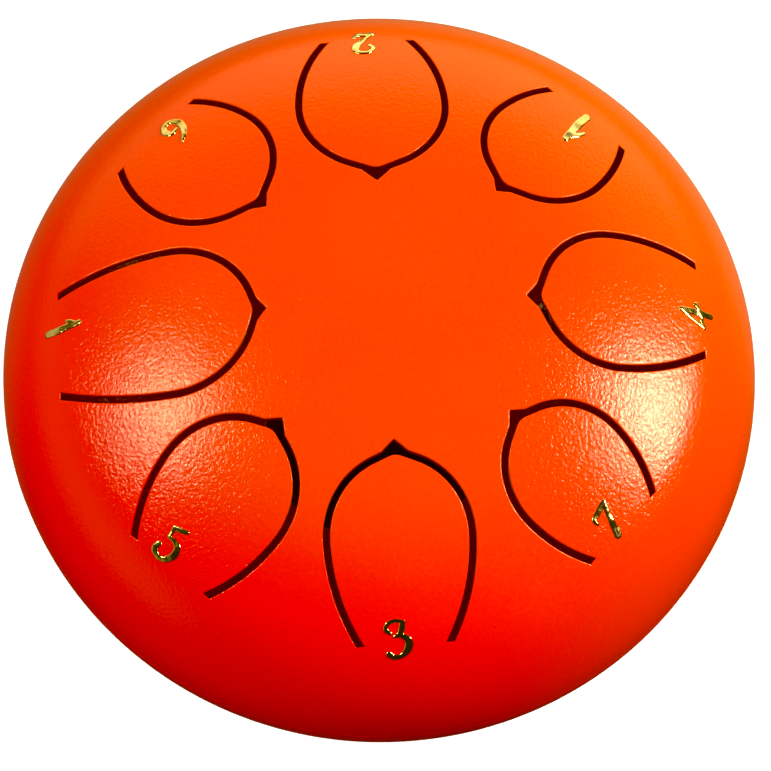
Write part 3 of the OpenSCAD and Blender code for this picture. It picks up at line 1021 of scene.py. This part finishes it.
def gold_foil():
    """Mirror foil with the soft waviness of a thin puffed sticker."""
    n = Nodes("gold_foil")
    colour = n.ramp(n.noise(350, 2), [(0.3, (0.93, 0.68, 0.24)), (0.7, (1.0, 0.86, 0.5))])
    n.link(colour, n.shader.inputs["Base Color"])
    wave = n.bump(n.noise(330, 1, 0.4), 0.0007, 0.7)
    n.link(n.bump(n.noise(1500, 1), 0.00003, 0.5, wave), n.shader.inputs["Normal"])
    n.link(n.mapped(n.noise(2400, 2), 0.3, 0.7, 0.1, 0.2), n.shader.inputs["Roughness"])
    n.set(Metallic=1.0)
    return n.material


def rubber():
    n = Nodes("foot_rubber")
    dust = n.noise(160, 4, 0.6)
    colour = n.ramp(dust, [(0.35, (0.012, 0.012, 0.019)), (0.75, (0.035, 0.034, 0.046))])
    n.link(colour, n.shader.inputs["Base Color"])
    grain = n.noise(3200, 3, 0.6)
    n.link(n.bump(grain, 0.00005, 0.5), n.shader.inputs["Normal"])
    n.link(n.mapped(dust, 0.3, 0.7, 0.55, 0.75), n.shader.inputs["Roughness"])
    return n.material


def zinc():
    n = Nodes("zinc_plate")
    cloud = n.noise(420, 3, 0.6)
    colour = n.ramp(cloud, [(0.3, (0.52, 0.53, 0.56)), (0.7, (0.72, 0.73, 0.74))])
    n.link(colour, n.shader.inputs["Base Color"])
    scratch = n.noise(2600, 2, 0.5, 1.5)
    n.link(n.bump(scratch, 0.00002, 0.4), n.shader.inputs["Normal"])
    n.link(n.mapped(cloud, 0.3, 0.7, 0.24, 0.4), n.shader.inputs["Roughness"])
    n.set(Metallic=1.0)
    return n.material


def paper():
    """The pale floor, lit from within like a light table, with a painted dark red shadow under the
    drum.
    """
    n = Nodes("pale_floor")
    colour = n.ramp(n.noise(3, 2), [(0.3, (0.72, 0.72, 0.74)), (0.7, (0.75, 0.75, 0.77))])
    out = n.from_axis()
    # Painted shadow: near the drum's axis the floor is painted dark red
    outside_painted_shadow = n.mapped(out, 0.03, 0.058, smooth=True)
    colour = n.mixed(outside_painted_shadow, (0.07, 0.002, 0.002), colour)
    n.link(colour, n.shader.inputs["Base Color"])
    n.link(colour, n.shader.inputs["Emission Color"])
    # The floor's glow is turned off under the drum, so the painted shadow stays dark
    glow = n.mapped(out, 0.035, 0.06, smooth=True)
    n.link(glow, n.shader.inputs["Emission Strength"])
    n.set(Roughness=0.9, Specular_IOR_Level=0.1)
    # From below the floor is clear, so that the drum's underside can be seen
    below = n.new("ShaderNodeNewGeometry").outputs["Backfacing"]
    n.link(n.maths("SUBTRACT", 1, below), n.shader.inputs["Alpha"])
    return n.material


def studio():
    """The room: pale to the camera, otherwise dark with a bright wall and floor at the back."""
    n = Nodes("studio", world=True)
    x, y, z = n.axes()

    def soft(value, low, high, to_low=0.0, to_high=1.0):
        return n.mapped(value, low, high, to_low, to_high, smooth=True)

    # The back wall and its left return, dimmer to the left, and the floor in front of it
    wall = n.maths("MAXIMUM", soft(y, 0.3, 0.8), soft(x, -0.6, -0.9, 0.0, 0.5))
    for share in (soft(z, 0.55, 0.2), soft(z, -0.25, 0.02), soft(x, -0.6, 0.0, 0.6, 1.0)):
        wall = n.maths("MULTIPLY", wall, share)
    below = n.maths("MULTIPLY", soft(y, 0.12, 0.5), soft(z, -0.15, -0.5, 0.0, 0.3))
    below = n.maths("MULTIPLY", below, n.mapped(x, -0.4, 0.3, 0.4, 1.0))
    room = n.mixed(n.maths("MAXIMUM", wall, below), (0.022, 0.020, 0.012), (1.5, 1.25, 0.62))
    path = n.new("ShaderNodeLightPath")
    seen = n.mixed(path.outputs["Is Camera Ray"], room, (0.93, 0.93, 0.93))
    n.link(seen, n.shader.inputs["Color"])
    bpy.context.scene.world = n.material


# ---- The pieces; all but the tongues' blades on the drum's body ----


def place_piece(obj, body, nodes, material):
    obj.data.materials.append(material)
    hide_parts(*nodes)
    if body is not None:
        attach(obj, body)


PAINT, FOIL, RUBBER, ZINC = enamel(), gold_foil(), rubber(), zinc()
tongues = [Tongue(i) for i in range(len(NOTES))]

openings = [tongue.opening().turned(az) for tongue, az in zip(tongues, AZIMUTH)]
place_piece(plate("upper_dome", openings, 1.7, 360), ROOT, ["upper_shell"], PAINT)

foot_holes = [
    round_hole(tuple(turned(np.array([[FOOT_AT, 0.0]]), az)[0]), HOLE_R, 0.5) for az in FOOT_AZ
]
lower = plate("lower_dome", [round_hole((0, 0), PORT_R, 0.9), *foot_holes], 2.2, 360, True, 0.2)
place_piece(lower, ROOT, ["lower_shell"], PAINT)
place_piece(waist_weld(), ROOT, ["waist_weld"], PAINT)

for i, (tongue, az) in enumerate(zip(tongues, AZIMUTH)):
    name = "tongue_" + NOTES[i]
    piece = plate("blade_" + name, [tongue.blade().turned(az)], 1.2)
    place_piece(piece, None, [name], PAINT)
    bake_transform(piece)
    place_piece(numeral(i), ROOT, ["numeral_" + NOTES[i]], FOIL)

for k in range(len(FOOT_AZ)):
    place_piece(foot(k), ROOT, [f"foot_{k + 1}"], RUBBER)
feet = range(len(FOOT_AZ))
place_piece(joined("screws", [screw(k) for k in feet]), ROOT, ["foot_screws"], ZINC)
place_piece(joined("washers", [washer(k) for k in feet]), ROOT, ["foot_washers"], ZINC)
place_piece(joined("nuts", [nut(k) for k in feet]), ROOT, ["foot_nuts"], ZINC)

# ---- Stage, light and camera ----


def floor():
    build = Builder()
    reach = 3000
    corners = [(-reach, -reach, 0), (reach, -reach, 0), (reach, reach, 0), (-reach, reach, 0)]
    build.fill(build.add(corners))
    obj = build.made("floor", raised=0, smooth=False)
    obj.data.materials.append(paper())
    obj.visible_glossy = obj.visible_diffuse = False


def softbox(name, azimuth, elevation, distance, size, watts, tint=(1, 1, 1), seen=True):
    """An area light aimed at the drum; azimuth is counted from +X. An unseen one only fills."""
    lamp = bpy.data.lights.new(name, "AREA")
    lamp.shape = "RECTANGLE"
    lamp.size, lamp.size_y = size
    lamp.energy = watts
    lamp.color = tint
    obj = bpy.data.objects.new(name, lamp)
    a, e = math.radians(azimuth), math.radians(elevation)
    way = Vector((math.cos(a) * math.cos(e), math.sin(a) * math.cos(e), math.sin(e)))
    obj.location = Vector((0, 0, WAIST_Z * MM)) + way * distance
    obj.rotation_euler = way.to_track_quat("Z", "Y").to_euler()
    obj.visible_camera = False
    obj.visible_glossy = lamp.cycles.use_multiple_importance_sampling = seen
    bpy.context.scene.collection.objects.link(obj)


def camera():
    """The photograph's view: from above the player's side, through a long lens."""
    azimuth, elevation, roll = (math.radians(d) for d in (-6.88, 69.9, 3.36))
    distance = 0.752
    back = Vector((
        math.sin(azimuth) * math.cos(elevation),
        -math.cos(azimuth) * math.cos(elevation),
        math.sin(elevation),
    ))
    right = Vector((0, 0, 1)).cross(back).normalized()
    up = back.cross(right)
    right, up = (
        math.cos(roll) * right + math.sin(roll) * up,
        math.cos(roll) * up - math.sin(roll) * right,
    )
    waist = Vector((0, 0, WAIST_Z * MM))
    aim = waist + 0.00122 * right - 0.00265 * up
    cam = bpy.data.cameras.new("camera")
    cam.lens = 170
    obj = bpy.data.objects.new("camera", cam)
    obj.location = waist + back * distance
    back = (obj.location - aim).normalized()
    right = (right - back * right.dot(back)).normalized()
    axes = Matrix((right, back.cross(right), back)).transposed()
    obj.rotation_euler = axes.to_euler()
    bpy.context.scene.collection.objects.link(obj)
    bpy.context.scene.camera = obj


floor()
softbox("right_box", 0.5, 35, 0.9, (0.28, 0.18), 7.2, (1, 0.86, 0.5))
softbox("left_box", 175, 48, 0.9, (0.26, 0.18), 3.5, (1, 0.84, 0.45))
softbox("back_box", 50, 30, 1.2, (0.9, 0.6), 4, seen=False)
softbox("front_box", 250, 60, 1.2, (0.9, 0.7), 5.2, seen=False)
# The light that the floor throws back up
softbox("floor_glow", 0, -90, WAIST_Z * MM - 0.0005, (0.9, 0.9), 0.9, seen=False)
camera()
studio()
view = bpy.context.scene.view_settings
view.view_transform = "Standard"
view.use_curve_mapping = True
view.curve_mapping.black_level = (0, 0.005, 0.018)
view.curve_mapping.update()
